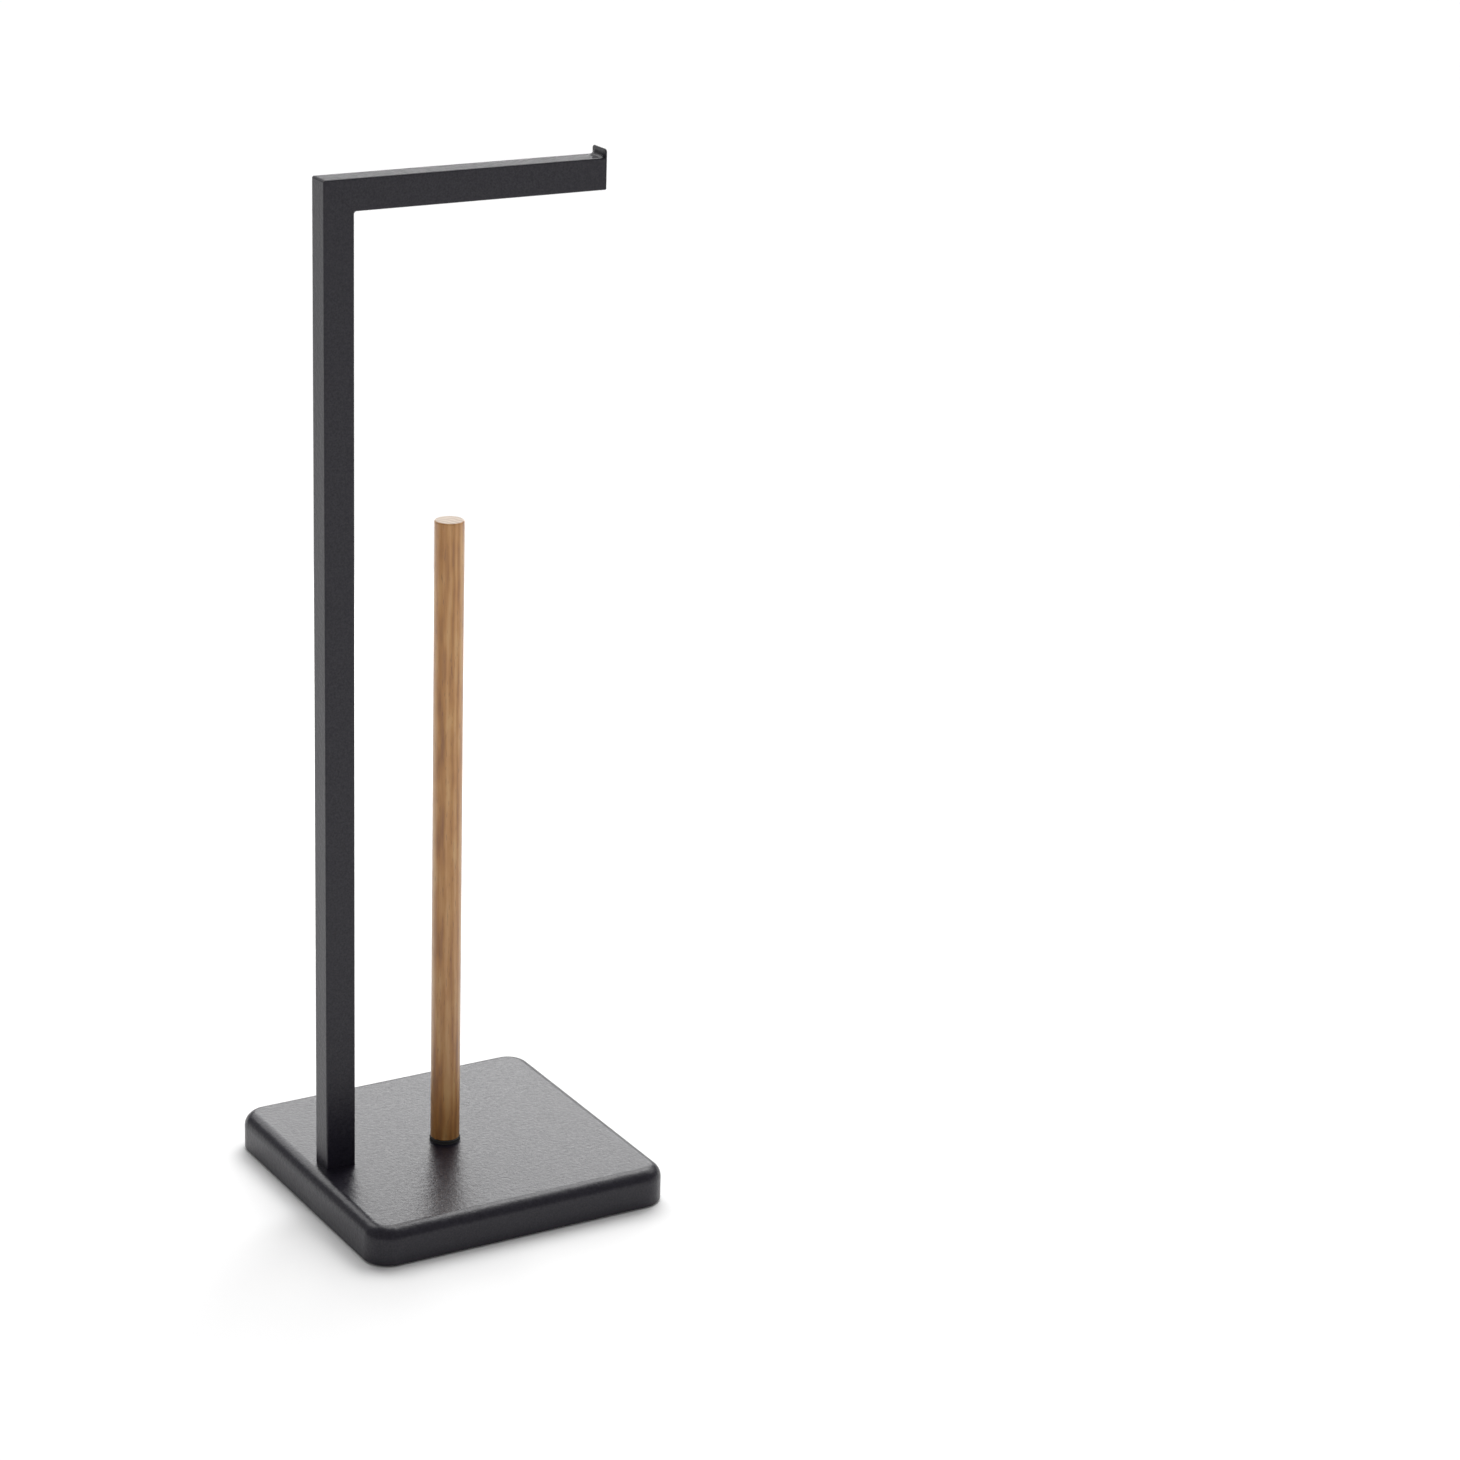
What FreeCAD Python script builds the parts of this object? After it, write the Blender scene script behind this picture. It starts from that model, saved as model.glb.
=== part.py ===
import FreeCAD, Part

import os

from FreeCAD import Vector

# Free-standing toilet roll holder: a weighted square base, a black tubular post with an arm
# for the roll in use, and an upright wooden rod for spare rolls.
#
# Millimetres. +Z is up, the arm points along +X, and the holder is symmetric about Y = 0.
# The origin is on the surface the holder stands on, under the middle of the base.

X_AXIS = Vector(1, 0, 0)
Y_AXIS = Vector(0, 1, 0)
Z_AXIS = Vector(0, 0, 1)

# ------------------------------------------------------------------ driving dimensions

# Base
base_size = 200.0
base_height = 23.0
base_corner_radius = 16.0
base_edge_radius = 8.5
base_wall = 1.5
rim_clearance = 1.0            # from the standing surface up to the rim of the shell

# Underside
plate_thickness = 2.0
plate_recess = 0.5             # how far the bottom plate sits up inside the rim
cavity_clearance = 1.0         # around the ballast and the bottom plate
foot_diameter = 20.0
foot_spacing = 160.0
boss_diameter = 9.0
boss_spacing = 116.0
boss_thread_depth = 12.0

# Post and arm, both of the same rectangular tube
tube_width = 19.0              # seen from the front: across the post, and the arm's height
tube_depth = 16.0              # front to back
tube_wall = 1.2
tube_corner_radius = 1.0
tube_inner_radius = 0.3
post_inset = 12.0              # from the left side of the base to the left face of the post
arm_top_z = 631.5
arm_reach = 180.5              # from the left face of the post to the outer face of the end plate
mitre_corner_radius = 1.5
end_plate_thickness = 1.2
end_plate_edge_radius = 0.8     # round the outer face
lip_height = 5.0               # the end plate above the top of the arm
lip_corner_radius = 2.0
corner_weld_leg = 3.5
lip_weld_leg = 3.5
weld_edge_inset = 1.0          # welds stop short of the tube's rounded edges

# Foot of the post
plug_height = 20.0
plug_clearance = 0.1
post_screw_diameter = 5.0
post_screw_length = 20.0
post_screw_head_diameter = 8.5
post_screw_head_height = 5.0
post_screw_socket = 4.0
post_screw_spacing = 9.0
clamp_bar_length = 24.0
clamp_bar_width = 14.0
clamp_bar_thickness = 3.0
post_pocket_clearance = 2.0    # around the clamp bar, in the ballast

# Spare-roll rod
rod_x = -4.0
rod_diameter = 18.0
rod_top_z = 423.0
rod_top_round = 1.0
rod_seat_diameter = 19.0
rod_seat_thickness = 2.5
insert_diameter = 9.0
insert_length = 15.0
rod_screw_diameter = 6.0
rod_screw_length = 20.0
rod_screw_head_diameter = 10.0
rod_screw_head_height = 6.0
rod_screw_socket = 5.0
rod_washer_diameter = 18.0
rod_washer_thickness = 1.6
rod_pocket_diameter = 24.0

# Bottom-plate screws, countersunk
plate_screw_diameter = 4.0
plate_screw_head_diameter = 8.0
plate_screw_length = 10.0      # with the head, which is as deep as the plate is thick

# Fits
screw_clearance = 0.3          # radial, where a screw passes through a plain hole
thread_clearance = 0.05        # radial, where a thread is modelled as a plain bore
insert_clearance = 0.05        # radial, between the rod and its insert
countersink_clearance = 0.1

# ------------------------------------------------------------------ derived dimensions

rim_z = rim_clearance
base_top_z = rim_z + base_height
cavity_top_z = base_top_z - base_wall
cavity_size = base_size - 2 * base_wall
plate_bottom_z = rim_z + plate_recess
plate_top_z = plate_bottom_z + plate_thickness
inner_part_size = cavity_size - 2 * cavity_clearance
inner_part_corner_radius = base_corner_radius - base_wall - cavity_clearance

post_left_x = -base_size / 2 + post_inset
post_right_x = post_left_x + tube_width
post_x = (post_left_x + post_right_x) / 2
arm_bottom_z = arm_top_z - tube_width
arm_end_x = post_left_x + arm_reach
end_plate_x = arm_end_x - end_plate_thickness
half_depth = tube_depth / 2
weld_width = tube_depth - 2 * weld_edge_inset

rod_bottom_z = base_top_z + rod_seat_thickness


# ------------------------------------------------------------------ shape helpers


def edges_along(solid, direction):
    """The straight edges of a solid that run parallel to a direction."""
    return [
        edge
        for edge in solid.Edges
        if edge.Curve.TypeId == "Part::GeomLine" and abs(edge.Curve.Direction.dot(direction)) > 0.999
    ]


def edges_at_height(solid, z):
    """The edges of a solid that lie wholly in the level plane at z."""
    return [edge for edge in solid.Edges if abs(edge.BoundBox.ZMin - z) + abs(edge.BoundBox.ZMax - z) < 1e-3]


def bar(low, high, radius=0.0, along=Z_AXIS):
    """A box between two corners, with its four edges along one direction rounded."""
    size = high - low
    solid = Part.makeBox(size.x, size.y, size.z, low)
    if radius:
        solid = solid.makeFillet(radius, edges_along(solid, along))
    return solid


def centred_slab(size, corner_radius, bottom_z, top_z):
    """An upright square slab centred on the Z axis, with rounded vertical edges."""
    return bar(Vector(-size / 2, -size / 2, bottom_z), Vector(size / 2, size / 2, top_z), corner_radius)


def upright_cylinder(diameter, bottom_z, top_z, x=0.0, y=0.0):
    return Part.makeCylinder(diameter / 2, top_z - bottom_z, Vector(x, y, bottom_z), Z_AXIS)


def hexagonal_prism(across_flats, bottom_z, top_z, x, y):
    """An upright hexagonal prism, as a hexagon key leaves in a screw's head."""
    start = Vector(across_flats / 3**0.5, 0, 0)
    turned = [FreeCAD.Rotation(Z_AXIS, 60 * step).multVec(start) for step in range(7)]
    outline = Part.makePolygon([Vector(x, y, bottom_z) + corner for corner in turned])
    return Part.Face(outline).extrude(Vector(0, 0, top_z - bottom_z))


def four_corners(spacing):
    """The corners of a square pattern centred on the Z axis, as (x, y) pairs."""
    half = spacing / 2
    return [(x, y) for x in (-half, half) for y in (-half, half)]


def concave_bead(corner, side_x, side_z, leg):
    """A hollow-faced weld bead along Y, in the corner of two faces square to X and to Z.

    side_x and side_z are +1 or -1, towards the open side of the corner.
    """
    across = Vector(side_x * leg, 0, side_z * leg)
    low = Vector(min(corner.x, corner.x + across.x), -weld_width / 2, min(corner.z, corner.z + across.z))
    block = Part.makeBox(leg, weld_width, leg, low)
    throat_centre = Vector(corner.x + across.x, -weld_width / 2, corner.z + across.z)
    return block.cut(Part.makeCylinder(leg, weld_width, throat_centre, Y_AXIS))


def socket_screw(diameter, length, head_diameter, head_height, socket, seat_z, x):
    """A cap screw pointing up on the plane Y = 0: its head hangs below seat_z."""
    head_bottom_z = seat_z - head_height
    head = upright_cylinder(head_diameter, head_bottom_z, seat_z, x)
    head = head.makeChamfer(diameter / 12, edges_at_height(head, head_bottom_z))
    shank = upright_cylinder(diameter, seat_z, seat_z + length, x)
    shank = shank.makeChamfer(diameter / 8, edges_at_height(shank, seat_z + length))
    socket_depth = head_height / 2
    recess = hexagonal_prism(socket, head_bottom_z, head_bottom_z + socket_depth, x, 0.0)
    return head.fuse(shank).cut(recess).removeSplitter()


# ------------------------------------------------------------------ base


def base_shell():
    """Drawn steel cover, open underneath, with holes for the post's and the rod's screws."""
    outside = centred_slab(base_size, base_corner_radius, rim_z, base_top_z)
    outside = outside.makeFillet(base_edge_radius, edges_at_height(outside, base_top_z))
    inside = centred_slab(cavity_size, base_corner_radius - base_wall, rim_z, cavity_top_z)
    inside = inside.makeFillet(base_edge_radius - base_wall, edges_at_height(inside, cavity_top_z))
    shell = outside.cut(inside)
    for x in post_screw_places():
        hole = post_screw_diameter + 2 * screw_clearance
        shell = shell.cut(upright_cylinder(hole, cavity_top_z, base_top_z, x))
    hole = rod_screw_diameter + 2 * screw_clearance
    return shell.cut(upright_cylinder(hole, cavity_top_z, base_top_z, rod_x))


def plate_bosses():
    """Four threaded studs welded inside the shell, which hold the bottom plate."""
    bosses = []
    for x, y in four_corners(boss_spacing):
        boss = upright_cylinder(boss_diameter, plate_top_z, cavity_top_z, x, y)
        thread = plate_screw_diameter + 2 * thread_clearance
        bosses.append(boss.cut(upright_cylinder(thread, plate_top_z, plate_top_z + boss_thread_depth, x, y)))
    return bosses


def post_pocket(bottom_z, top_z, clearance):
    """The room that the post's clamp bar needs, with a clearance all round."""
    half_length = clamp_bar_length / 2 + clearance
    half_width = clamp_bar_width / 2 + clearance
    low = Vector(post_x - half_length, -half_width, bottom_z)
    high = Vector(post_x + half_length, half_width, top_z)
    return bar(low, high, 3.0)


def ballast_block():
    """Cast cement weight that fills the shell, with pockets for the fasteners and bosses."""
    block = centred_slab(inner_part_size, inner_part_corner_radius, plate_top_z, cavity_top_z)
    block = block.makeFillet(base_edge_radius - base_wall, edges_at_height(block, cavity_top_z))
    block = block.cut(post_pocket(plate_top_z, cavity_top_z, post_pocket_clearance))
    block = block.cut(upright_cylinder(rod_pocket_diameter, plate_top_z, cavity_top_z, rod_x))
    for x, y in four_corners(boss_spacing):
        boss_room = boss_diameter + 2 * cavity_clearance
        block = block.cut(upright_cylinder(boss_room, plate_top_z, cavity_top_z, x, y))
    return block


def bottom_plate():
    """Sheet that closes the base, with countersunk screw holes and two ways in for a key."""
    plate = centred_slab(inner_part_size, inner_part_corner_radius, plate_bottom_z, plate_top_z)
    plate = plate.cut(post_pocket(plate_bottom_z, plate_top_z, post_pocket_clearance / 2))
    way_in = rod_washer_diameter + 2 * cavity_clearance
    plate = plate.cut(upright_cylinder(way_in, plate_bottom_z, plate_top_z, rod_x))
    for x, y in four_corners(boss_spacing):
        wide = plate_screw_head_diameter / 2 + countersink_clearance
        narrow = plate_screw_diameter / 2 + countersink_clearance
        place = Vector(x, y, plate_bottom_z)
        plate = plate.cut(Part.makeCone(wide, narrow, plate_thickness, place, Z_AXIS))
    return plate


def bottom_plate_screws():
    """Four countersunk machine screws with cross recesses, flush with the bottom plate."""
    screws = []
    recess_length = 3.8
    recess_width = 0.9
    recess_depth = 1.4
    for x, y in four_corners(boss_spacing):
        place = Vector(x, y, plate_bottom_z)
        wide = plate_screw_head_diameter / 2
        narrow = plate_screw_diameter / 2
        head = Part.makeCone(wide, narrow, plate_thickness, place, Z_AXIS)
        shank = upright_cylinder(plate_screw_diameter, plate_top_z, plate_bottom_z + plate_screw_length, x, y)
        screw = head.fuse(shank)
        for along_x, along_y in ((recess_length, recess_width), (recess_width, recess_length)):
            low = Vector(x - along_x / 2, y - along_y / 2, plate_bottom_z)
            high = Vector(x + along_x / 2, y + along_y / 2, plate_bottom_z + recess_depth)
            screw = screw.cut(bar(low, high))
        screws.append(screw.removeSplitter())
    return screws


def foot(x, y):
    """Round rubber pad, stuck under the bottom plate."""
    pad = upright_cylinder(foot_diameter, 0.0, plate_bottom_z, x, y)
    return pad.makeChamfer(0.4, edges_at_height(pad, 0.0))


# ------------------------------------------------------------------ post and arm


def arm_side_of_mitre():
    """Everything on the arm's side of the 45 degree cut between the post and the arm."""
    margin = 10.0
    outline = Part.makePolygon(
        [
            Vector(post_left_x - margin, -half_depth - margin, arm_top_z + margin),
            Vector(post_right_x + margin, -half_depth - margin, arm_bottom_z - margin),
            Vector(arm_end_x + margin, -half_depth - margin, arm_bottom_z - margin),
            Vector(arm_end_x + margin, -half_depth - margin, arm_top_z + margin),
            Vector(post_left_x - margin, -half_depth - margin, arm_top_z + margin),
        ]
    )
    return Part.Face(outline).extrude(Vector(0, tube_depth + 2 * margin, 0))


def frame_envelope():
    """The block that holds the post and arm, with the outer corner ground round."""
    low = Vector(post_left_x, -half_depth, base_top_z)
    high = Vector(end_plate_x, half_depth, arm_top_z)
    block = bar(low, high)
    outer_corner = [
        edge
        for edge in edges_along(block, Y_AXIS)
        if abs(edge.CenterOfMass.x - post_left_x) < 1e-3 and abs(edge.CenterOfMass.z - arm_top_z) < 1e-3
    ]
    return block.makeFillet(mitre_corner_radius, outer_corner)


def straight_tube(low, high, along):
    """Rectangular tube between two corners, open at both ends."""
    wall = Vector(tube_wall, tube_wall, tube_wall)
    wall = wall - along * tube_wall
    outside = bar(low, high, tube_corner_radius, along)
    inside = bar(low + wall, high - wall, tube_inner_radius, along)
    return outside.cut(inside)


def post_tube():
    low = Vector(post_left_x, -half_depth, base_top_z)
    high = Vector(post_right_x, half_depth, arm_top_z)
    return straight_tube(low, high, Z_AXIS).cut(arm_side_of_mitre()).common(frame_envelope())


def arm_tube():
    low = Vector(post_left_x, -half_depth, arm_bottom_z)
    high = Vector(end_plate_x, half_depth, arm_top_z)
    return straight_tube(low, high, X_AXIS).common(arm_side_of_mitre()).common(frame_envelope())


def corner_weld():
    """Bead in the inner corner between the post and the arm."""
    return concave_bead(Vector(post_right_x, 0, arm_bottom_z), 1, -1, corner_weld_leg)


def end_plate():
    """Plate that closes the arm and stands above it, so that a roll can't slide off."""
    low = Vector(end_plate_x, -half_depth, arm_bottom_z)
    high = Vector(arm_end_x, half_depth, arm_top_z + lip_height)
    plate = bar(low, high)
    for z, radius in ((low.z, tube_corner_radius), (high.z, lip_corner_radius)):
        corners = [edge for edge in edges_along(plate, X_AXIS) if abs(edge.CenterOfMass.z - z) < 1e-3]
        plate = plate.makeFillet(radius, corners)
    outer_rim = [
        edge
        for edge in plate.Edges
        if abs(edge.BoundBox.XMin - arm_end_x) + abs(edge.BoundBox.XMax - arm_end_x) < 1e-3
    ]
    return plate.makeFillet(end_plate_edge_radius, outer_rim)


def lip_weld():
    """Bead in the corner between the top of the arm and the end plate."""
    return concave_bead(Vector(end_plate_x, 0, arm_top_z), -1, 1, lip_weld_leg)


# ------------------------------------------------------------------ foot of the post


def post_screw_places():
    return [post_x - post_screw_spacing / 2, post_x + post_screw_spacing / 2]


def post_foot_plug():
    """Solid block welded into the lower end of the post, tapped for its two screws."""
    gap = tube_wall + plug_clearance
    low = Vector(post_left_x + gap, -half_depth + gap, base_top_z)
    high = Vector(post_right_x - gap, half_depth - gap, base_top_z + plug_height)
    plug = bar(low, high, tube_inner_radius)
    for x in post_screw_places():
        thread = post_screw_diameter + 2 * thread_clearance
        plug = plug.cut(upright_cylinder(thread, base_top_z, base_top_z + plug_height, x))
    return plug


def post_clamp_bar():
    """Bar under the top of the shell that spreads the load of the post's two screws."""
    low = Vector(post_x - clamp_bar_length / 2, -clamp_bar_width / 2, cavity_top_z - clamp_bar_thickness)
    high = Vector(post_x + clamp_bar_length / 2, clamp_bar_width / 2, cavity_top_z)
    clamp = bar(low, high, 2.0)
    for x in post_screw_places():
        hole = post_screw_diameter + 2 * screw_clearance
        clamp = clamp.cut(upright_cylinder(hole, low.z, high.z, x))
    return clamp


def post_screws():
    return [
        socket_screw(
            post_screw_diameter,
            post_screw_length,
            post_screw_head_diameter,
            post_screw_head_height,
            post_screw_socket,
            cavity_top_z - clamp_bar_thickness,
            x,
        )
        for x in post_screw_places()
    ]


# ------------------------------------------------------------------ spare-roll rod


def spare_roll_rod():
    """Turned hardwood rod, bored from below for its threaded insert."""
    rod = upright_cylinder(rod_diameter, rod_bottom_z, rod_top_z, rod_x)
    rod = rod.makeFillet(rod_top_round, edges_at_height(rod, rod_top_z))
    bore_diameter = insert_diameter + 2 * insert_clearance
    bore_depth = insert_length + 1.0
    screw_tip_z = cavity_top_z - rod_washer_thickness + rod_screw_length
    bore_top_z = max(rod_bottom_z + bore_depth, screw_tip_z + 1.0)
    return rod.cut(upright_cylinder(bore_diameter, rod_bottom_z, bore_top_z, rod_x))


def rod_insert():
    """Threaded metal sleeve in the foot of the rod."""
    sleeve = upright_cylinder(insert_diameter, rod_bottom_z, rod_bottom_z + insert_length, rod_x)
    thread = rod_screw_diameter + 2 * thread_clearance
    return sleeve.cut(upright_cylinder(thread, rod_bottom_z, rod_bottom_z + insert_length, rod_x))


def rod_seat_washer():
    """Black rubber ring between the rod and the base, a little wider than the rod."""
    ring = upright_cylinder(rod_seat_diameter, base_top_z, rod_bottom_z, rod_x)
    ring = ring.makeFillet(0.5, edges_at_height(ring, rod_bottom_z))
    hole = rod_screw_diameter + 2 * screw_clearance
    return ring.cut(upright_cylinder(hole, base_top_z, rod_bottom_z, rod_x))


def rod_screw_washer():
    """Steel washer under the top of the shell."""
    low_z = cavity_top_z - rod_washer_thickness
    ring = upright_cylinder(rod_washer_diameter, low_z, cavity_top_z, rod_x)
    hole = rod_screw_diameter + 2 * screw_clearance
    return ring.cut(upright_cylinder(hole, low_z, cavity_top_z, rod_x))


def rod_screw():
    return socket_screw(
        rod_screw_diameter,
        rod_screw_length,
        rod_screw_head_diameter,
        rod_screw_head_height,
        rod_screw_socket,
        cavity_top_z - rod_washer_thickness,
        rod_x,
    )


# ------------------------------------------------------------------ the holder


def save(node, solids):
    """Write one node, which is one solid or a group of identical ones."""
    shape = Part.makeCompound(solids) if isinstance(solids, list) else solids
    shape.exportStep("parts/" + node + ".step")


def main():
    os.makedirs("parts", exist_ok=True)

    save("base_shell", base_shell())
    save("plate_bosses", plate_bosses())
    save("ballast_block", ballast_block())
    save("bottom_plate", bottom_plate())
    save("bottom_plate_screws", bottom_plate_screws())
    for x, y in four_corners(foot_spacing):
        depth_name = "front" if y < 0 else "rear"
        side_name = "left" if x < 0 else "right"
        save("foot_" + depth_name + "_" + side_name, foot(x, y))

    save("post_tube", post_tube())
    save("arm_tube", arm_tube())
    save("corner_weld", corner_weld())
    save("end_plate", end_plate())
    save("lip_weld", lip_weld())
    save("post_foot_plug", post_foot_plug())
    save("post_clamp_bar", post_clamp_bar())
    save("post_screws", post_screws())

    save("spare_roll_rod", spare_roll_rod())
    save("rod_insert", rod_insert())
    save("rod_seat_washer", rod_seat_washer())
    save("rod_screw_washer", rod_screw_washer())
    save("rod_screw", rod_screw())


main()
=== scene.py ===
import math

import bmesh
import bpy
from mathutils import Euler, Matrix, Vector, noise


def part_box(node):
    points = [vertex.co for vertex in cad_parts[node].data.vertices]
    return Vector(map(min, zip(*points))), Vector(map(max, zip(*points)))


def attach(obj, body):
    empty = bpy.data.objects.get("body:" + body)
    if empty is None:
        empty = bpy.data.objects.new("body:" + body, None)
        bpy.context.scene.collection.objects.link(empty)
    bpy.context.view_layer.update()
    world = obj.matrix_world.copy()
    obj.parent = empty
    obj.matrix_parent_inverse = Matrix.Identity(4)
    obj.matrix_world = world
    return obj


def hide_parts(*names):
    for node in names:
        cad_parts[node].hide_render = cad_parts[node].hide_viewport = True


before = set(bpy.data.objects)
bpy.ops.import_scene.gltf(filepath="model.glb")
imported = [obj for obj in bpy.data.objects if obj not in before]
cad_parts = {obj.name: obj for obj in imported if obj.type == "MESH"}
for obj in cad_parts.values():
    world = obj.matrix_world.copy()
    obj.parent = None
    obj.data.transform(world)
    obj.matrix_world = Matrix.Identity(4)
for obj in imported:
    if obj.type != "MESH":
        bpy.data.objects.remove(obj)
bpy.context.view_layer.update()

# Looks of the free-standing toilet roll holder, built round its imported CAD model.
# Metres, +Z up, arm along +X, floor at z = 0. Places come from the boxes of the CAD nodes.

MM = 0.001

# ------------------------------------------------------------------ sizes shared with the design

base_corner_radius = 16.0 * MM
base_edge_radius = 8.5 * MM
base_wall = 1.5 * MM
tube_corner_radius = 1.0 * MM
tube_inner_radius = 0.3 * MM
tube_wall = 1.2 * MM
mitre_corner_radius = 1.5 * MM
lip_corner_radius = 2.0 * MM
end_plate_edge_radius = 0.8 * MM
screw_clearance = 0.3 * MM
post_screw_radius = 2.5 * MM
rod_screw_radius = 3.0 * MM

# ------------------------------------------------------------------ mesh helpers


def size_of(node):
    low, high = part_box(node)
    return high - low


def middle_of(node):
    low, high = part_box(node)
    return (low + high) / 2


def rounded_rectangle(half_width, half_depth, radius, steps, lower_radius=None):
    """Points round a rectangle centred on the origin, anticlockwise, with its corners as arcs.

    lower_radius is for the two corners below the origin, where they differ from the upper two.
    """
    points = []
    for quarter, (side_x, side_y) in enumerate(((1, 1), (-1, 1), (-1, -1), (1, -1))):
        corner = radius if side_y > 0 or lower_radius is None else lower_radius
        for step in range(steps + 1):
            angle = math.radians(90) * (quarter + step / steps)
            x = side_x * (half_width - corner) + corner * math.cos(angle)
            y = side_y * (half_depth - corner) + corner * math.sin(angle)
            points.append((x, y))
    return points


def arc(centre, radius, start, end, steps):
    """Points of an arc in the plane, from one angle to another, in degrees."""
    points = []
    for step in range(steps + 1):
        angle = math.radians(start + (end - start) * step / steps)
        points.append((centre[0] + radius * math.cos(angle), centre[1] + radius * math.sin(angle)))
    return points


def loft(rings, closed=False):
    """Points and faces of a skin over rings of equally many points, capped unless it closes on itself."""
    ring_size = len(rings[0])
    points = [point for ring in rings for point in ring]
    faces = []
    for ring in range(len(rings) if closed else len(rings) - 1):
        here = ring * ring_size
        there = (ring + 1) % len(rings) * ring_size
        for step in range(ring_size):
            after = (step + 1) % ring_size
            faces.append((here + step, here + after, there + after, there + step))
    if not closed:
        faces.append(tuple(range(ring_size)))
        faces.append(tuple(range(len(points) - ring_size, len(points))))
    return points, faces


def turned(profile, centre, segments=96, closed=False):
    """Loft of rings about an upright axis. A profile entry is (radius, z) or (function of angle, z)."""
    rings = []
    for radius, z in profile:
        ring = []
        for step in range(segments):
            angle = math.radians(360) * step / segments
            reach = radius(angle) if callable(radius) else radius
            x = centre[0] + reach * math.cos(angle)
            y = centre[1] + reach * math.sin(angle)
            ring.append(Vector((x, y, z)))
        rings.append(ring)
    return loft(rings, closed)


def joined(shapes):
    """Several (points, faces) pairs as one."""
    all_points = []
    all_faces = []
    for points, faces in shapes:
        first = len(all_points)
        all_points.extend(points)
        all_faces.extend(tuple(first + corner for corner in face) for face in faces)
    return all_points, all_faces


def make_object(name, shape):
    """A mesh object from points and faces, with its normals facing out."""
    mesh = bpy.data.meshes.new(name)
    mesh.from_pydata([tuple(point) for point in shape[0]], [], shape[1])
    work = bmesh.new()
    work.from_mesh(mesh)
    bmesh.ops.recalc_face_normals(work, faces=work.faces)
    work.to_mesh(mesh)
    work.free()
    made = bpy.data.objects.new(name, mesh)
    bpy.context.scene.collection.objects.link(made)
    return made


def cut_away(piece, cutter):
    """Takes the cutter's shape out of the piece's mesh, and deletes the cutter."""
    boolean = piece.modifiers.new("cut", "BOOLEAN")
    boolean.operation = "DIFFERENCE"
    boolean.solver = "EXACT"
    boolean.object = cutter
    bpy.context.view_layer.update()
    evaluated = piece.evaluated_get(bpy.context.evaluated_depsgraph_get())
    cut_mesh = bpy.data.meshes.new_from_object(evaluated)
    piece.modifiers.clear()
    piece.data = cut_mesh
    bpy.data.objects.remove(cutter)


def finish_piece(piece, material, slot, *nodes, sharp_angle=35):
    """Smooth shading with crisp edges, a material, and the CAD nodes that the piece stands for."""
    piece.data.polygons.foreach_set("use_smooth", [True] * len(piece.data.polygons))
    piece.data.set_sharp_from_angle(angle=math.radians(sharp_angle))
    shading = piece.modifiers.new("even_shading", "WEIGHTED_NORMAL")
    shading.keep_sharp = True
    piece.data.materials.clear()
    piece.data.materials.append(material)
    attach(piece, "root")
    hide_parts(*nodes)
    return piece


# ------------------------------------------------------------------ material helpers


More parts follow.
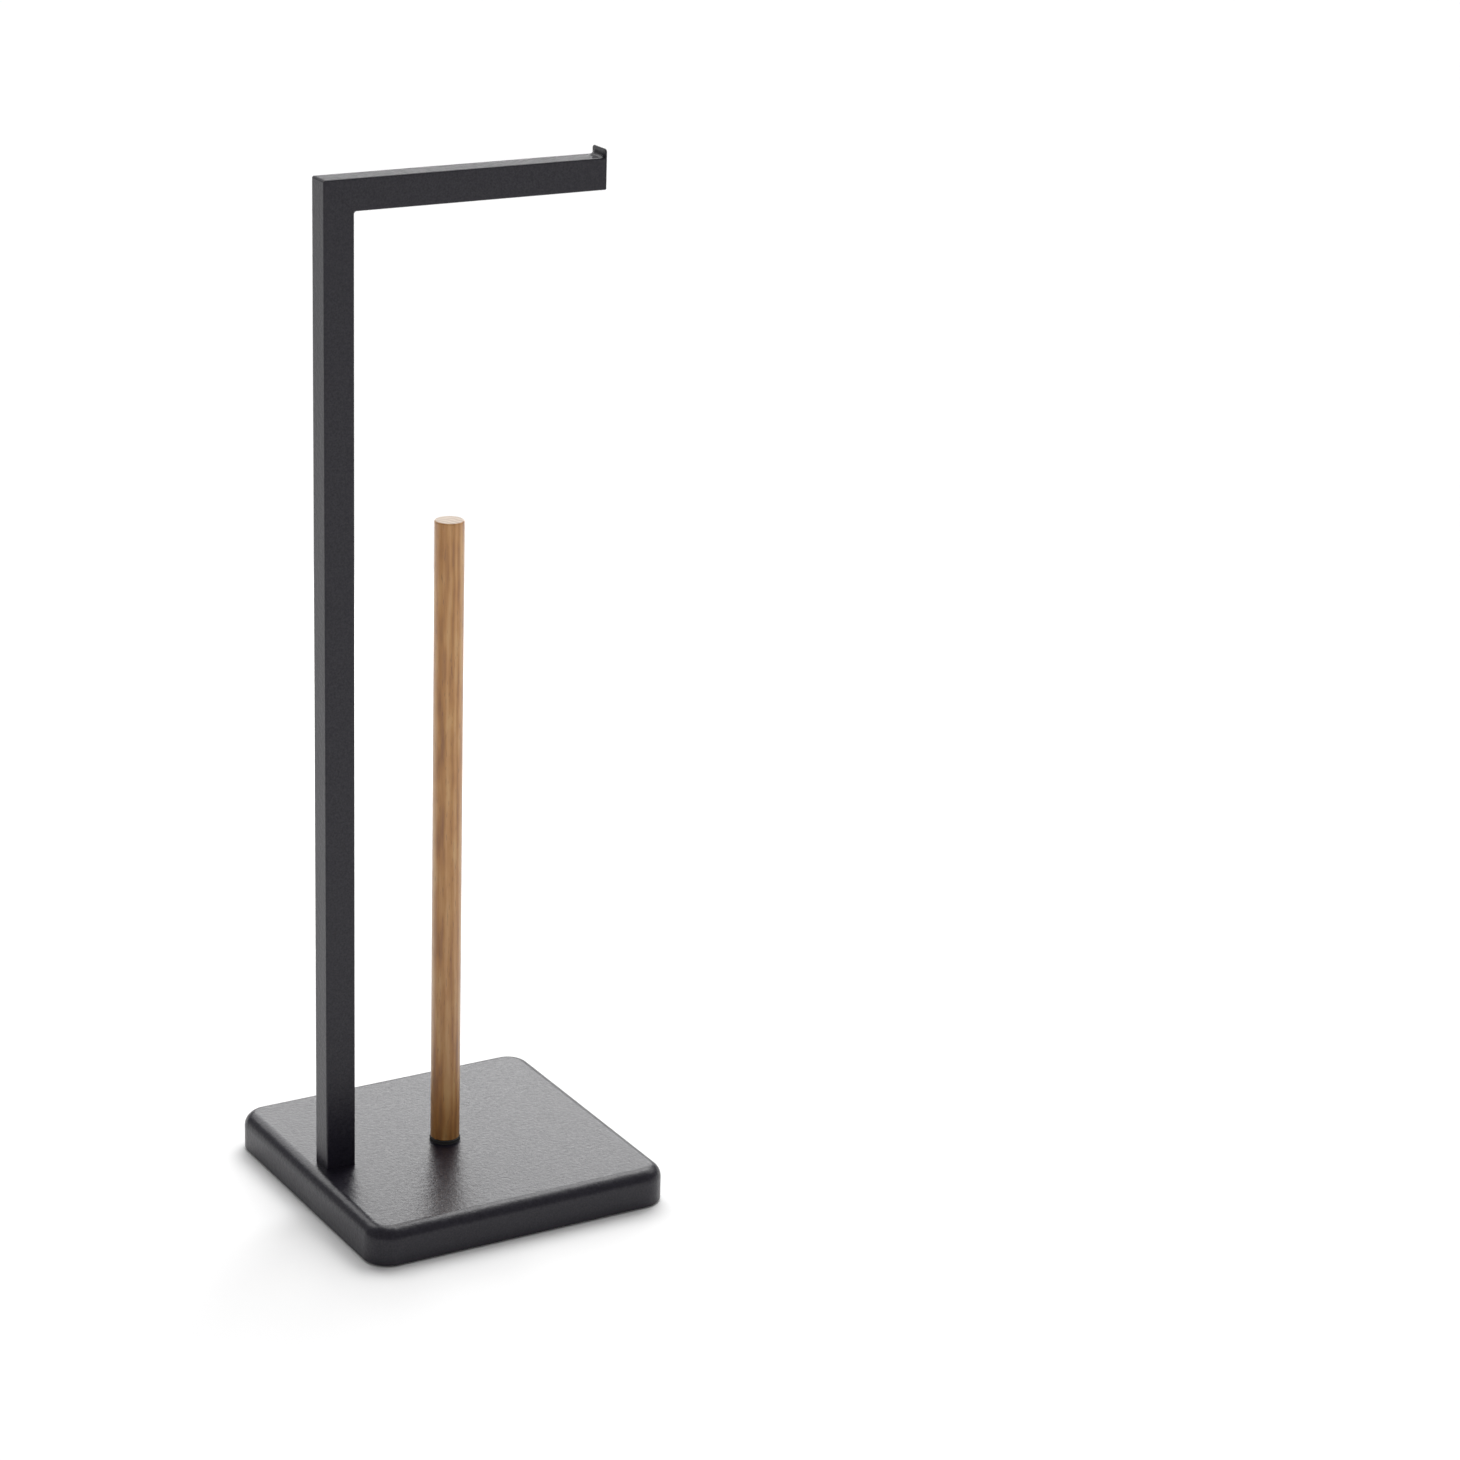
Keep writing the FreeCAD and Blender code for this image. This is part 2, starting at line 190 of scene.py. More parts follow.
class Shading:
    """A material being put together, with short calls for the nodes that its textures need."""

    def __init__(self, name):
        self.material = bpy.data.materials.new(name)
        self.material.use_nodes = True
        self.tree = self.material.node_tree
        self.shader = self.tree.nodes["Principled BSDF"]
        self.coordinates = self.add("ShaderNodeTexCoord").outputs["Object"]

    def add(self, kind):
        return self.tree.nodes.new(kind)

    def link(self, output, socket):
        self.tree.links.new(output, socket)

    def placed(self, stretch=(1, 1, 1), offset=(0, 0, 0)):
        """The object's own coordinates, scaled along each axis and then moved."""
        mapping = self.add("ShaderNodeMapping")
        mapping.inputs["Scale"].default_value = stretch
        mapping.inputs["Location"].default_value = offset
        self.link(self.coordinates, mapping.inputs["Vector"])
        return mapping.outputs["Vector"]

    def noise(self, grain, detail=3.0, stretch=(1, 1, 1), offset=(0, 0, 0)):
        """Noise from 0 to 1 whose blotches are about one grain across, in metres."""
        texture = self.add("ShaderNodeTexNoise")
        texture.inputs["Scale"].default_value = 1 / grain
        texture.inputs["Detail"].default_value = detail
        self.link(self.placed(stretch, offset), texture.inputs["Vector"])
        return texture.outputs["Fac"]

    def remap(self, value, from_low, from_high, to_low, to_high):
        """Stretches part of a value's range to another range, and clamps it there."""
        node = self.add("ShaderNodeMapRange")
        node.inputs["From Min"].default_value = from_low
        node.inputs["From Max"].default_value = from_high
        node.inputs["To Min"].default_value = to_low
        node.inputs["To Max"].default_value = to_high
        self.link(value, node.inputs["Value"])
        return node.outputs["Result"]

    def upright_part(self, vector):
        """The Z component of a vector."""
        node = self.add("ShaderNodeSeparateXYZ")
        self.link(vector, node.inputs["Vector"])
        return node.outputs["Z"]

    def maths(self, operation, first, second):
        """One sum on two values. Either may be an output or a plain number."""
        node = self.add("ShaderNodeMath")
        node.operation = operation
        for value, socket in ((first, node.inputs[0]), (second, node.inputs[1])):
            if isinstance(value, (int, float)):
                socket.default_value = value
            else:
                self.link(value, socket)
        return node.outputs["Value"]

    def ramp(self, value, *stops):
        """Colours along a value: each stop is (position, colour)."""
        node = self.add("ShaderNodeValToRGB")
        elements = node.color_ramp.elements
        while len(elements) < len(stops):
            elements.new(1.0)
        for element, (position, colour) in zip(elements, stops):
            element.position = position
            element.color = (*colour, 1.0)
        self.link(value, node.inputs["Fac"])
        return node.outputs["Color"]

    def mix(self, factor, first, second, blend="MIX"):
        """Mixes two colours. Either may be an output or a plain colour."""
        node = self.add("ShaderNodeMix")
        node.data_type = "RGBA"
        node.blend_type = blend
        sockets = {socket.identifier: socket for socket in node.inputs}
        values = (
            (factor, sockets["Factor_Float"]),
            (first, sockets["A_Color"]),
            (second, sockets["B_Color"]),
        )
        for value, socket in values:
            if isinstance(value, (int, float)):
                socket.default_value = value
            elif isinstance(value, tuple):
                socket.default_value = (*value, 1.0)
            else:
                self.link(value, socket)
        return next(output for output in node.outputs if output.identifier == "Result_Color")

    def bump(self, *layers):
        """Stacks bumps of (height from 0 to 1, depth in metres) on the shader's normal."""
        normal = None
        for height, depth in layers:
            node = self.add("ShaderNodeBump")
            node.inputs["Distance"].default_value = depth
            self.link(height, node.inputs["Height"])
            if normal is not None:
                self.link(normal, node.inputs["Normal"])
            normal = node.outputs["Normal"]
        self.link(normal, self.shader.inputs["Normal"])

    def set(self, **values):
        """Sets the shader's own sockets; a name's underscores stand for spaces."""
        for name, value in values.items():
            socket = self.shader.inputs[name.replace("_", " ")]
            if isinstance(value, (int, float, tuple)):
                socket.default_value = value
            else:
                self.link(value, socket)


# ------------------------------------------------------------------ materials


def powder_coat():
    """Satin black powder coat: soft mottling, an orange-peel skin and a finer grain on top."""
    make = Shading("black_powder_coat")
    mottle = make.noise(2.6 * MM, 2.0)
    peel = make.noise(1.1 * MM, 1.0)
    grain = make.noise(0.45 * MM, 2.0)
    make.set(
        Base_Color=make.ramp(mottle, (0.3, (0.0065, 0.0052, 0.0110)), (0.7, (0.0105, 0.0088, 0.0160))),
        Roughness=make.remap(mottle, 0.3, 0.7, 0.28, 0.36),
        IOR=1.43,
        Specular_IOR_Level=make.remap(peel, 0.25, 0.75, 0.40, 0.60),
    )
    make.bump((mottle, 0.14 * MM), (peel, 0.05 * MM), (grain, 0.015 * MM))
    return make.material


def painted_sheet():
    """Thin matt black paint on sheet steel."""
    make = Shading("black_painted_sheet")
    cloud = make.noise(9 * MM, 3.0)
    grain = make.noise(0.6 * MM, 3.0)
    make.set(
        Base_Color=make.ramp(cloud, (0.3, (0.028, 0.028, 0.030)), (0.7, (0.042, 0.042, 0.044))),
        Roughness=make.remap(cloud, 0.3, 0.7, 0.5, 0.62),
    )
    make.bump((cloud, 0.05 * MM), (grain, 0.02 * MM))
    return make.material


def zinc_plating():
    """Bright zinc on turned steel, with faint blue and straw patches and fine turning lines."""
    make = Shading("zinc_plated_steel")
    patch = make.noise(6 * MM, 3.0)
    lines = make.noise(0.5 * MM, 3.0, stretch=(0.15, 0.15, 1.6))
    tint = make.ramp(
        patch,
        (0.30, (0.58, 0.61, 0.66)),
        (0.55, (0.64, 0.64, 0.64)),
        (0.80, (0.68, 0.64, 0.54)),
    )
    make.set(
        Base_Color=tint,
        Roughness=make.remap(lines, 0.3, 0.7, 0.22, 0.42),
        Metallic=1.0,
    )
    make.bump((lines, 0.02 * MM))
    return make.material


def cement():
    """Rough cast cement: grey blotches, dark sand specks and small air holes."""
    make = Shading("ballast_cement")
    blotch = make.noise(18 * MM, 4.0)
    sand = make.noise(1.2 * MM, 2.0)
    holes = make.remap(make.noise(2.4 * MM, 1.0), 0.62, 0.7, 1.0, 0.0)
    colour = make.ramp(blotch, (0.3, (0.36, 0.35, 0.33)), (0.7, (0.52, 0.51, 0.48)))
    specks = make.remap(sand, 0.60, 0.68, 0.0, 0.6)
    make.set(
        Base_Color=make.mix(specks, colour, (0.16, 0.15, 0.14)),
        Roughness=make.remap(sand, 0.3, 0.7, 0.85, 0.98),
    )
    make.bump((blotch, 0.4 * MM), (holes, 0.4 * MM), (sand, 0.15 * MM))
    return make.material


def rubber():
    """Matt moulded rubber with a dusty bloom."""
    make = Shading("black_rubber")
    bloom = make.noise(4 * MM, 3.0)
    grain = make.noise(0.35 * MM, 2.0)
    make.set(
        Base_Color=make.ramp(bloom, (0.3, (0.014, 0.014, 0.014)), (0.75, (0.026, 0.026, 0.026))),
        Roughness=make.remap(bloom, 0.3, 0.7, 0.62, 0.78),
    )
    make.bump((grain, 0.02 * MM))
    return make.material


def hardwood():
    """Oiled hardwood as a solid texture: streaks and flecks along the grain, darker towards the foot."""
    make = Shading("rod_hardwood")
    rod_middle = middle_of("spare_roll_rod")
    pith = (52 * MM - rod_middle.x, 34 * MM - rod_middle.y, 0)
    ring_width = 3.8 * MM
    ring_width_at_scale_one = 0.314
    dark_below = 110 * MM
    pale_above = 300 * MM

    rings = make.add("ShaderNodeTexWave")
    rings.wave_type = "RINGS"
    rings.rings_direction = "Z"
    rings.inputs["Scale"].default_value = ring_width_at_scale_one / ring_width
    rings.inputs["Distortion"].default_value = 5.0
    rings.inputs["Detail"].default_value = 2.0
    rings.inputs["Detail Scale"].default_value = 1.2
    make.link(make.placed((1, 1, 0.08), pith), rings.inputs["Vector"])

    cloud = make.noise(9 * MM, 2.0, stretch=(1, 1, 0.28))
    figure = make.noise(3.2 * MM, 3.0, stretch=(1, 1, 0.12), offset=(0.3, 0.1, 0))
    fibre = make.noise(0.9 * MM, 3.0, stretch=(1, 1, 0.03))
    hair = make.noise(0.3 * MM, 2.0, stretch=(1, 1, 0.04))
    flecks = make.remap(make.noise(0.7 * MM, 1.0, stretch=(1, 1, 0.10)), 0.64, 0.74, 0.0, 1.0)

    streaks = make.maths("MULTIPLY", rings.outputs["Fac"], 0.16)
    for layer, share in ((cloud, 0.46), (figure, 0.34), (fibre, 0.14)):
        streaks = make.maths("ADD", streaks, make.maths("MULTIPLY", layer, share))
    side = make.ramp(
        streaks,
        (0.36, (0.30, 0.118, 0.026)),
        (0.50, (0.45, 0.196, 0.043)),
        (0.60, (0.53, 0.266, 0.078)),
        (0.76, (0.61, 0.364, 0.140)),
    )
    side = make.mix(make.maths("MULTIPLY", flecks, 0.5), side, (0.16, 0.065, 0.025))
    # Darker towards the foot: the side colour is multiplied by a dull brown at up to 0.3 strength below
    # dark_below, fading to nothing at pale_above.
    foot_darkening = make.remap(make.upright_part(make.coordinates), dark_below, pale_above, 0.3, 0.0)
    side = make.mix(foot_darkening, side, (0.60, 0.55, 0.50), blend="MULTIPLY")

    normal = make.add("ShaderNodeNewGeometry").outputs["Normal"]
    end_grain = make.remap(make.upright_part(normal), 0.75, 0.97, 0.0, 1.0)
    end_colour = make.ramp(rings.outputs["Fac"], (0.1, (0.50, 0.40, 0.32)), (0.9, (0.62, 0.52, 0.43)))

    make.set(
        Base_Color=make.mix(end_grain, side, end_colour),
        Roughness=make.remap(fibre, 0.3, 0.7, 0.40, 0.56),
        IOR=1.45,
        Specular_IOR_Level=make.remap(end_grain, 0.0, 1.0, 0.5, 0.1),
        Coat_Weight=make.remap(end_grain, 0.0, 1.0, 0.9, 0.0),
        Coat_Roughness=0.36,
    )
    make.bump((figure, 0.05 * MM), (fibre, 0.035 * MM), (hair, 0.02 * MM))
    return make.material


def floor_finish():
    """Plain pale matt floor with the faintest unevenness."""
    make = Shading("pale_floor")
    cloud = make.noise(0.8, 2.0)
    make.set(
        Base_Color=make.ramp(cloud, (0.3, (0.925, 0.925, 0.925)), (0.7, (0.94, 0.94, 0.94))),
        Roughness=make.remap(cloud, 0.3, 0.7, 0.85, 0.9),
        Specular_IOR_Level=0.1,
    )
    return make.material


# ------------------------------------------------------------------ base


def upright_rods(places, radius, low_z, high_z):
    """Plain upright cylinders, for cutting holes."""
    return joined([turned([(radius, low_z), (radius, high_z)], place, segments=48) for place in places])


def base_cover(material):
    """Drawn cover with a wide rolled top edge, a rounded rim and the fasteners' holes."""
    low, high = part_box("base_shell")
    half = (high.x - low.x) / 2
    rim_round = base_wall * 0.45
    inside_radius = base_edge_radius - base_wall
    cavity_top = high.z - base_wall
    edge_steps = 14
    rim_steps = 4
    corner_steps = 20

    profile = arc((base_edge_radius, high.z - base_edge_radius), base_edge_radius, 90, 180, edge_steps)
    profile += arc((rim_round, low.z + rim_round), rim_round, 180, 270, rim_steps)
    profile += arc((base_wall - rim_round, low.z + rim_round), rim_round, 270, 360, rim_steps)
    profile += arc((base_edge_radius, cavity_top - inside_radius), inside_radius, 180, 90, edge_steps)

    rings = []
    for inset, z in profile:
        outline = rounded_rectangle(half - inset, half - inset, base_corner_radius - inset, corner_steps)
        rings.append([Vector((x, y, z)) for x, y in outline])
    piece = make_object("pressed_base_cover", loft(rings))

    post_hole = post_screw_radius + screw_clearance
    rod_hole = rod_screw_radius + screw_clearance
    below = cavity_top - base_wall
    above = high.z + base_wall
    for places, radius in ((post_screw_places(), post_hole), ([middle_of("rod_screw").xy], rod_hole)):
        cutter = make_object("hole_cutter", upright_rods(places, radius, below, above))
        cut_away(piece, cutter)
    return finish_piece(piece, material, "black_powder_coat", "base_shell")


def rubber_foot(node, material):
    """Moulded pad with an eased top edge and three ring grooves in its sole."""
    low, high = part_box(node)
    radius = (high.x - low.x) / 2
    ease = 0.4 * MM
    groove_depth = 0.35 * MM
    groove_width = 0.8 * MM
    profile = [(radius * 0.5, high.z), (radius - ease, high.z)]
    profile += [(radius, high.z - ease / 2), (radius, low.z + ease)]
    profile += [(radius - ease * 0.3, low.z + ease * 0.3), (radius - ease, low.z)]
    for share in (0.82, 0.6, 0.38):
        middle = radius * share
        profile.append((middle + groove_width / 2, low.z))
        profile.append((middle + groove_width / 4, low.z + groove_depth))
        profile.append((middle - groove_width / 4, low.z + groove_depth))
        profile.append((middle - groove_width / 2, low.z))
    profile.append((radius * 0.2, low.z))
    piece = make_object("rubber_" + node, turned(profile, middle_of(node), segments=64))
    return finish_piece(piece, material, "black_rubber", node)


# ------------------------------------------------------------------ post and arm


def outer_corner():
    """Where the post's left face and the arm's top face would meet if the corner were sharp."""
    low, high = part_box("post_tube")
    return Vector((low.x, 0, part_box("arm_tube")[1].z))


def mitred_tube(name, length, place, material, node):
    """Rectangular tube whose end is cut at 45 degrees, with its outer corner ground round.

    place turns (across, depth, along) into a point: across from the tube's outer face, depth from
    its middle, along from the outer corner. A hairline dip is left along the seam of the cut.
    """
    width = size_of("post_tube").x
    half_depth = size_of("post_tube").y / 2
    seam_dip = 0.12 * MM
    seam_width = 0.3 * MM
    round_steps = 6

    def ring(inset, corner, trim, offset=None):
        """An outline at the far end or, given an offset, on the cut. Trim keeps it off the outer face."""
        outline = rounded_rectangle(width / 2 - inset, half_depth - inset, corner, 8)
        points = []
        for u, depth in outline:
            across = max(u + width / 2, trim)
            along = length if offset is None else across + offset
            points.append(place(across, depth, along))
        return points

    rings = [ring(0, tube_corner_radius, 0)]
    for step in range(round_steps - 1):
        angle = math.radians(45) * step / round_steps
        trim = mitre_corner_radius * (1 - math.cos(angle))
        offset = mitre_corner_radius * (math.cos(angle) - math.sin(angle))
        rings.append(ring(0, tube_corner_radius, trim, offset))
    last_trim = mitre_corner_radius * (1 - math.cos(math.radians(45)))
    rings.append(ring(0, tube_corner_radius, last_trim, seam_width))
    rings.append(ring(seam_dip, tube_corner_radius - seam_dip, last_trim + seam_dip, 0))
    rings.append(ring(tube_wall, tube_inner_radius, 0, 0))
    rings.append(ring(tube_wall, tube_inner_radius, 0))
    piece = make_object(name, loft(rings, closed=True))
    return finish_piece(piece, material, "black_powder_coat", node)


def post(material):
    """The upright tube, from the mitre down to the base."""
    corner = outer_corner()
    length = corner.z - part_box("post_tube")[0].z

    def place(across, depth, along):
        return Vector((corner.x + across, depth, corner.z - along))

    return mitred_tube("welded_post", length, place, material, "post_tube")


def arm(material):
    """The level tube, from the mitre out to the end plate."""
    corner = outer_corner()
    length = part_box("arm_tube")[1].x - corner.x

    def place(across, depth, along):
        return Vector((corner.x + along, depth, corner.z - across))

    return mitred_tube("welded_arm", length, place, material, "arm_tube")


def weld_bead(name, node, side_x, side_z, material):
    """Hollow-faced bead with soft ripples, tapering out at both ends.

    side_x and side_z are 1 or -1, for the way that the bead grows out of its corner.
    """
    low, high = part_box(node)
    leg = high.x - low.x
    corner_x = low.x if side_x > 0 else high.x
    corner_z = low.z if side_z > 0 else high.z
    half_width = (high.y - low.y) / 2
    taper = leg * 0.8
    end_share = 0.25
    ripple_pitch = 1.3 * MM
    ripple_height = leg * 0.05
    ripple_bow = 0.9 * MM
    face_steps = 12
    rings = []
    stations = 96
    for station in range(stations + 1):
        y = -half_width + 2 * half_width * station / stations
        from_end = half_width - abs(y)
        share = min(1.0, from_end / taper)
        reach = leg * (end_share + (1 - end_share) * math.sqrt(1 - (1 - share) ** 2))
        ring = [(0.0, 0.0)]
        for step in range(face_steps + 1):
            angle = math.radians(270 - 90 * step / face_steps)
            bow = math.sin(math.radians(180) * step / face_steps)
            phase = (y + ripple_bow * bow) / ripple_pitch
            lift = ripple_height * bow * (0.5 + 0.5 * math.cos(math.radians(360) * phase))
            radius = reach - lift
            ring.append((reach + radius * math.cos(angle), reach + radius * math.sin(angle)))
        rings.append([Vector((corner_x + side_x * a, y, corner_z + side_z * b)) for a, b in ring])
    piece = make_object(name, loft(rings))
    return finish_piece(piece, material, "black_powder_coat", node, sharp_angle=60)


def end_plate(material):
    """Plate that closes the arm and stands up as a lip, with eased edges."""
    low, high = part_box("end_plate")
    middle = (low + high) / 2
    half_depth = (high.y - low.y) / 2
    half_height = (high.z - low.z) / 2
    outer_ease = end_plate_edge_radius
    inner_ease = 0.2 * MM
    profile = arc((low.x + inner_ease, inner_ease), inner_ease, 180, 270, 4)
    profile += arc((high.x - outer_ease, outer_ease), outer_ease, 270, 360, 6)
    rings = []
    for x, inset in profile:
        top_corner = lip_corner_radius - inset
        foot_corner = tube_corner_radius - inset
        outline = rounded_rectangle(half_depth - inset, half_height - inset, top_corner, 10, foot_corner)
        rings.append([Vector((x, y, middle.z + z)) for y, z in outline])
    piece = make_object("arm_end_plate", loft(rings))
    return finish_piece(piece, material, "black_powder_coat", "end_plate")


# ------------------------------------------------------------------ screws


def post_screw_places():
    """Axes of the post's two screws, which stand at the ends of their node's box."""
    low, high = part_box("post_screws")
    head_radius = size_of("post_screws").y / 2
    return [Vector((low.x + head_radius, 0)), Vector((high.x - head_radius, 0))]


def hexagon(across_flats):
    """Radius of a hexagon as a function of the angle."""

    def radius(angle):
        from_flat = (angle + math.radians(30)) % math.radians(60) - math.radians(30)
        return across_flats / 2 / math.cos(from_flat)

    return radius


def cap_screw(place, low_z, high_z, head_height, head_radius, shank_radius, socket, pitch):
    """Socket cap screw pointing up: knurled head with a hexagonal socket below, rolled thread above."""
    teeth = 24
    knurl_depth = 0.13 * MM
    thread_depth = 0.5 * pitch
    steps_per_turn = 6
    tip = 1 * MM
    seat_z = low_z + head_height
    bevel = 0.4 * MM

    def knurled(angle):
        return head_radius - knurl_depth * (0.5 - 0.5 * math.cos(teeth * angle))

    def threaded(z):
        def radius(angle):
            turn = (z / pitch - angle / math.radians(360)) % 1.0
            return shank_radius - thread_depth * (1 - abs(2 * turn - 1))

        return radius

    socket_top = low_z + head_height / 2
    profile = [(socket * 0.1, socket_top + 0.5 * MM), (hexagon(socket), socket_top)]
    profile += [(hexagon(socket), low_z + 0.15 * MM), (socket * 0.6, low_z)]
    profile += [(head_radius - bevel, low_z), (head_radius - 0.1 * MM, low_z + bevel)]
    profile += [(knurled, low_z + bevel + 0.2 * MM), (knurled, seat_z - 0.5 * MM)]
    profile += [(head_radius - 0.1 * MM, seat_z - 0.3 * MM), (head_radius - 0.2 * MM, seat_z)]
    profile += [(shank_radius, seat_z)]
    thread_length = high_z - seat_z - tip
    steps = round(thread_length / pitch * steps_per_turn)
    for step in range(steps + 1):
        z = seat_z + thread_length * step / steps
        profile.append((threaded(z), z))
    profile += [(shank_radius - thread_depth, high_z - 0.4 * MM), (shank_radius * 0.7, high_z)]
    return turned(profile, place)


def post_cap_screws(material):
    low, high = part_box("post_screws")
    screws = []
    for place in post_screw_places():
        screw = cap_screw(
            place,
            low.z,
            high.z,
            head_height=5.0 * MM,
            head_radius=(high.y - low.y) / 2,
            shank_radius=post_screw_radius,
            socket=4.0 * MM,
            pitch=0.8 * MM,
        )
        screws.append(screw)
    piece = make_object("post_cap_screws", joined(screws))
    return finish_piece(piece, material, "zinc_plated_steel", "post_screws")


def rod_cap_screw(material):
    low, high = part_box("rod_screw")
    screw = cap_screw(
        middle_of("rod_screw"),
        low.z,
        high.z,
        head_height=6.0 * MM,
        head_radius=(high.y - low.y) / 2,
        shank_radius=rod_screw_radius,
        socket=5.0 * MM,
        pitch=1.0 * MM,
    )
    piece = make_object("rod_cap_screw", screw)
    return finish_piece(piece, material, "zinc_plated_steel", "rod_screw")


# ------------------------------------------------------------------ spare-roll rod


def wooden_rod(material):
    """Turned rod with an eased top, a bored foot and the fine relief that sanding leaves in the grain."""
    low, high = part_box("spare_roll_rod")
    middle = middle_of("spare_roll_rod")
    radius = (high.x - low.x) / 2
    top_round = 1.1 * MM
    bottom_ease = 0.3 * MM
    bore_radius = size_of("rod_insert").x / 2 + 0.05 * MM
    bore_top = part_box("rod_screw")[1].z + 1.5 * MM
    relief = 0.05 * MM
    straight = high.z - top_round - low.z - bottom_ease
    steps = 160

    profile = [(bore_radius * 0.1, bore_top), (bore_radius, bore_top - 0.5 * MM), (bore_radius, low.z)]
    profile += [(radius - bottom_ease, low.z), (radius, low.z + bottom_ease)]
    profile += [(radius, low.z + bottom_ease + straight * step / steps) for step in range(1, steps)]
    profile += arc((radius - top_round, high.z - top_round), top_round, 0, 90, 8)
    profile += [(radius * share, high.z) for share in (0.8, 0.6, 0.4, 0.2, 0.05)]
    points, faces = turned(profile, middle)

    shaped = []
    for point in points:
        out = Vector((point.x - middle.x, point.y - middle.y, 0))
        on_the_side = out.length > radius * 0.9
        if on_the_side:
            x, y, z = (part / MM for part in point)
            streak = noise.noise(Vector((x * 0.9, y * 0.9, z * 0.02)))
            wave = noise.noise(Vector((x * 0.2, y * 0.2, z * 0.015 + 7)))
            depth = relief * (1 + 0.6 * streak + 0.8 * wave) / 2
            point = point - out.normalized() * max(depth, 0.0)
        shaped.append(point)
    piece = make_object("wooden_rod", (shaped, faces))
    return finish_piece(piece, material, "rod_hardwood", "spare_roll_rod")


def seat_ring(material):
    """Rubber ring under the rod, with a rounded upper edge and a small bead where it meets the base."""
    low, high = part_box("rod_seat_washer")
    radius = (high.x - low.x) / 2
    hole = rod_screw_radius + screw_clearance
    ease = 0.6 * MM
    ring = [(hole, high.z), (radius - ease, high.z)]
    ring += arc((radius - ease, high.z - ease), ease, 80, 0, 5)
    ring += [(radius - 0.15 * MM, low.z + 0.5 * MM), (radius, low.z + 0.3 * MM), (radius, low.z)]
    ring += [(hole, low.z)]
    shape = turned(ring, middle_of("rod_seat_washer"), closed=True)
    piece = make_object("rubber_seat_ring", shape)
    return finish_piece(piece, material, "black_rubber", "rod_seat_washer")


# ------------------------------------------------------------------ carried-over CAD nodes


def paint_node(node, material):
    """Gives a CAD node that keeps its own mesh a material."""
    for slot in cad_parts[node].material_slots:
        slot.material = material


# ------------------------------------------------------------------ stage, light and camera


def floor(material):
    """Wide level floor at z = 0."""
    half = 14.0
    corners = [Vector((x * half, y * half, 0)) for x, y in ((-1, -1), (1, -1), (1, 1), (-1, 1))]
    piece = make_object("studio_floor", (corners, [(0, 1, 2, 3)]))
    piece.data.materials.append(material)


def panel(name, azimuth, distance, low_z, high_z, width, radiance):
    """Upright light panel that faces the holder. Azimuth 0 is on the +Y side and 90 on the +X side."""
    turn = math.radians(azimuth)
    away = Vector((math.sin(turn), math.cos(turn), 0))
    data = bpy.data.lights.new(name, "AREA")
    data.shape = "RECTANGLE"
    data.size = width
    data.size_y = high_z - low_z
    data.energy = radiance * math.pi * data.size * data.size_y
    place_light(name, data, away, away * distance + Vector((0, 0, (low_z + high_z) / 2)))


def far_light(name, azimuth, elevation, spread, irradiance):
    """Light from a disc too far away to fall off, such as a large lamp at the end of a studio."""
    turn = math.radians(azimuth)
    rise = math.radians(elevation)
    towards = Vector((math.sin(turn) * math.cos(rise), math.cos(turn) * math.cos(rise), math.sin(rise)))
    data = bpy.data.lights.new(name, "SUN")
    data.angle = math.radians(spread)
    data.energy = irradiance
    place_light(name, data, towards, towards * 4)


def place_light(name, data, towards, location):
    """Adds a light that shines back along the direction that leads towards it."""
    light = bpy.data.objects.new(name, data)
    light.location = location
    light.rotation_euler = towards.to_track_quat("Z", "Y").to_euler()
    light.visible_camera = False
    bpy.context.scene.collection.objects.link(light)


def studio_world():
    """Plain grey surroundings that whiten near the horizon, as a studio's curved backdrop does."""
    horizon_strength = 1.0
    sky_strength = 0.36
    fade_low_z = 0.04
    fade_high_z = 0.12
    world = bpy.data.worlds.new("studio")
    world.use_nodes = True
    nodes = world.node_tree.nodes
    links = world.node_tree.links
    parts = nodes.new("ShaderNodeSeparateXYZ")
    links.new(nodes.new("ShaderNodeTexCoord").outputs["Generated"], parts.inputs["Vector"])
    fade = nodes.new("ShaderNodeMapRange")
    fade.inputs["From Min"].default_value = fade_low_z
    fade.inputs["From Max"].default_value = fade_high_z
    fade.inputs["To Min"].default_value = horizon_strength
    fade.inputs["To Max"].default_value = sky_strength
    links.new(parts.outputs["Z"], fade.inputs["Value"])
    background = nodes["Background"]
    background.inputs["Color"].default_value = (1.0, 1.0, 1.0, 1.0)
    links.new(fade.outputs["Result"], background.inputs["Strength"])
    bpy.context.scene.world = world


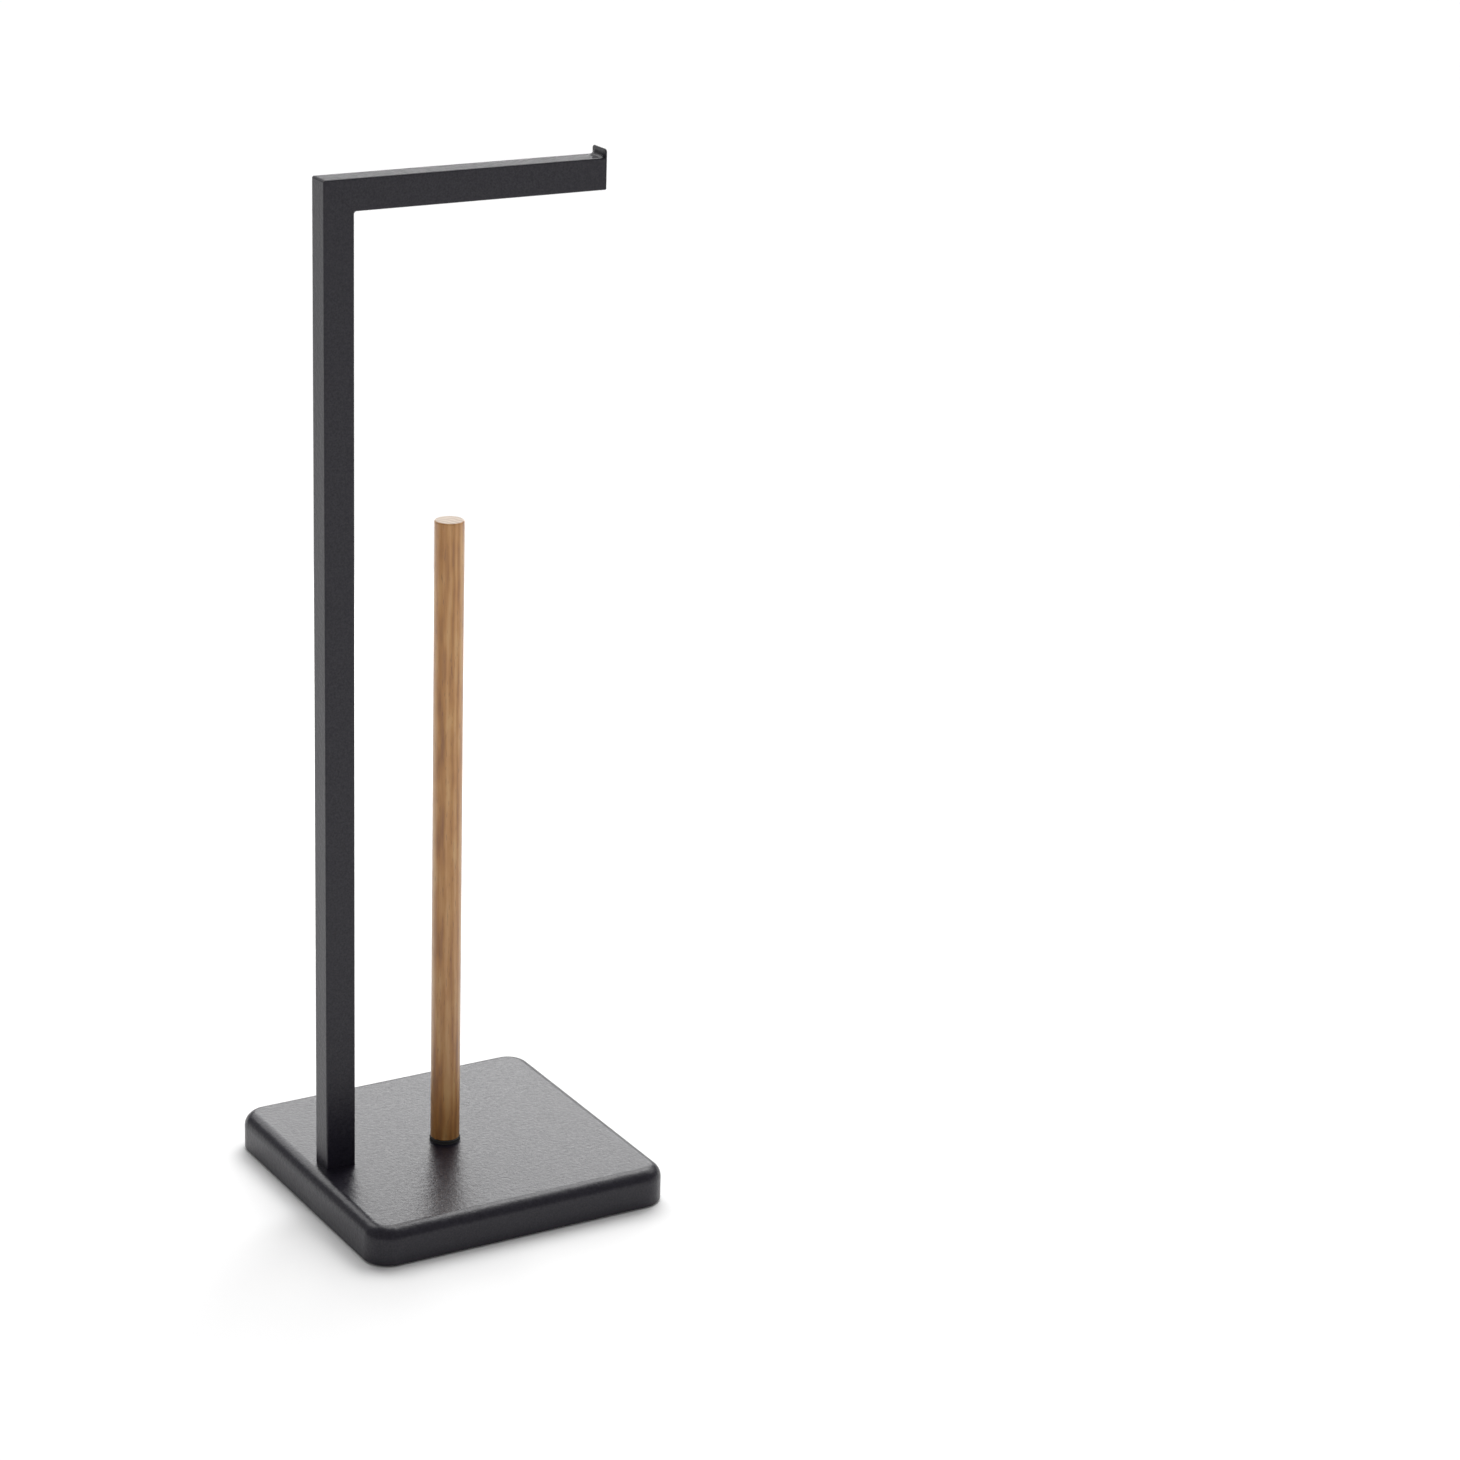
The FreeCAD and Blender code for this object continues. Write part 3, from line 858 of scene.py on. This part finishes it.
def studio_light():
    """One panel behind the holder and three far lamps above it, shown without a film look."""
    panel("back_panel", azimuth=30, distance=1.3, low_z=0.38, high_z=0.77, width=1.15, radiance=5.3)
    far_light("high_lamp", azimuth=36, elevation=56, spread=38, irradiance=1.5)
    far_light("side_lamp", azimuth=76, elevation=50, spread=44, irradiance=0.9)
    far_light("left_lamp", azimuth=-5, elevation=42, spread=30, irradiance=0.6)
    bpy.context.scene.view_settings.view_transform = "Standard"


def place_camera():
    """Looks down at the holder from its front left, above the arm, rolled by a small angle."""
    data = bpy.data.cameras.new("camera")
    data.lens = 95.86
    data.sensor_width = 36.0
    eye = Vector((-0.9992, -1.9581, 1.0638))
    turn = math.radians(31.338)
    tilt = math.radians(19.268)
    roll = math.radians(1.883)
    aimed = Euler((math.radians(90) - tilt, 0, -turn)).to_matrix().to_4x4()
    made = bpy.data.objects.new("camera", data)
    made.matrix_world = Matrix.Translation(eye) @ aimed @ Matrix.Rotation(roll, 4, "Z")
    bpy.context.scene.collection.objects.link(made)
    bpy.context.scene.camera = made


# ------------------------------------------------------------------ the holder


def build():
    """Makes the materials and the pieces, and paints the nodes that no piece replaces."""
    black = powder_coat()
    sheet_paint = painted_sheet()
    zinc = zinc_plating()
    stone = cement()
    dark_rubber = rubber()
    wood = hardwood()

    base_cover(black)
    for end in ("front", "rear"):
        for side in ("left", "right"):
            rubber_foot(f"foot_{end}_{side}", dark_rubber)
    post(black)
    arm(black)
    weld_bead("corner_weld_bead", "corner_weld", 1, -1, black)
    weld_bead("lip_weld_bead", "lip_weld", -1, 1, black)
    end_plate(black)
    post_cap_screws(zinc)
    rod_cap_screw(zinc)
    wooden_rod(wood)
    seat_ring(dark_rubber)

    paint_node("bottom_plate", sheet_paint)
    paint_node("ballast_block", stone)
    zinc_nodes = ("plate_bosses", "bottom_plate_screws", "post_foot_plug")
    zinc_nodes += ("post_clamp_bar", "rod_insert", "rod_screw_washer")
    for node in zinc_nodes:
        paint_node(node, zinc)


build()
floor(floor_finish())
studio_world()
studio_light()
place_camera()
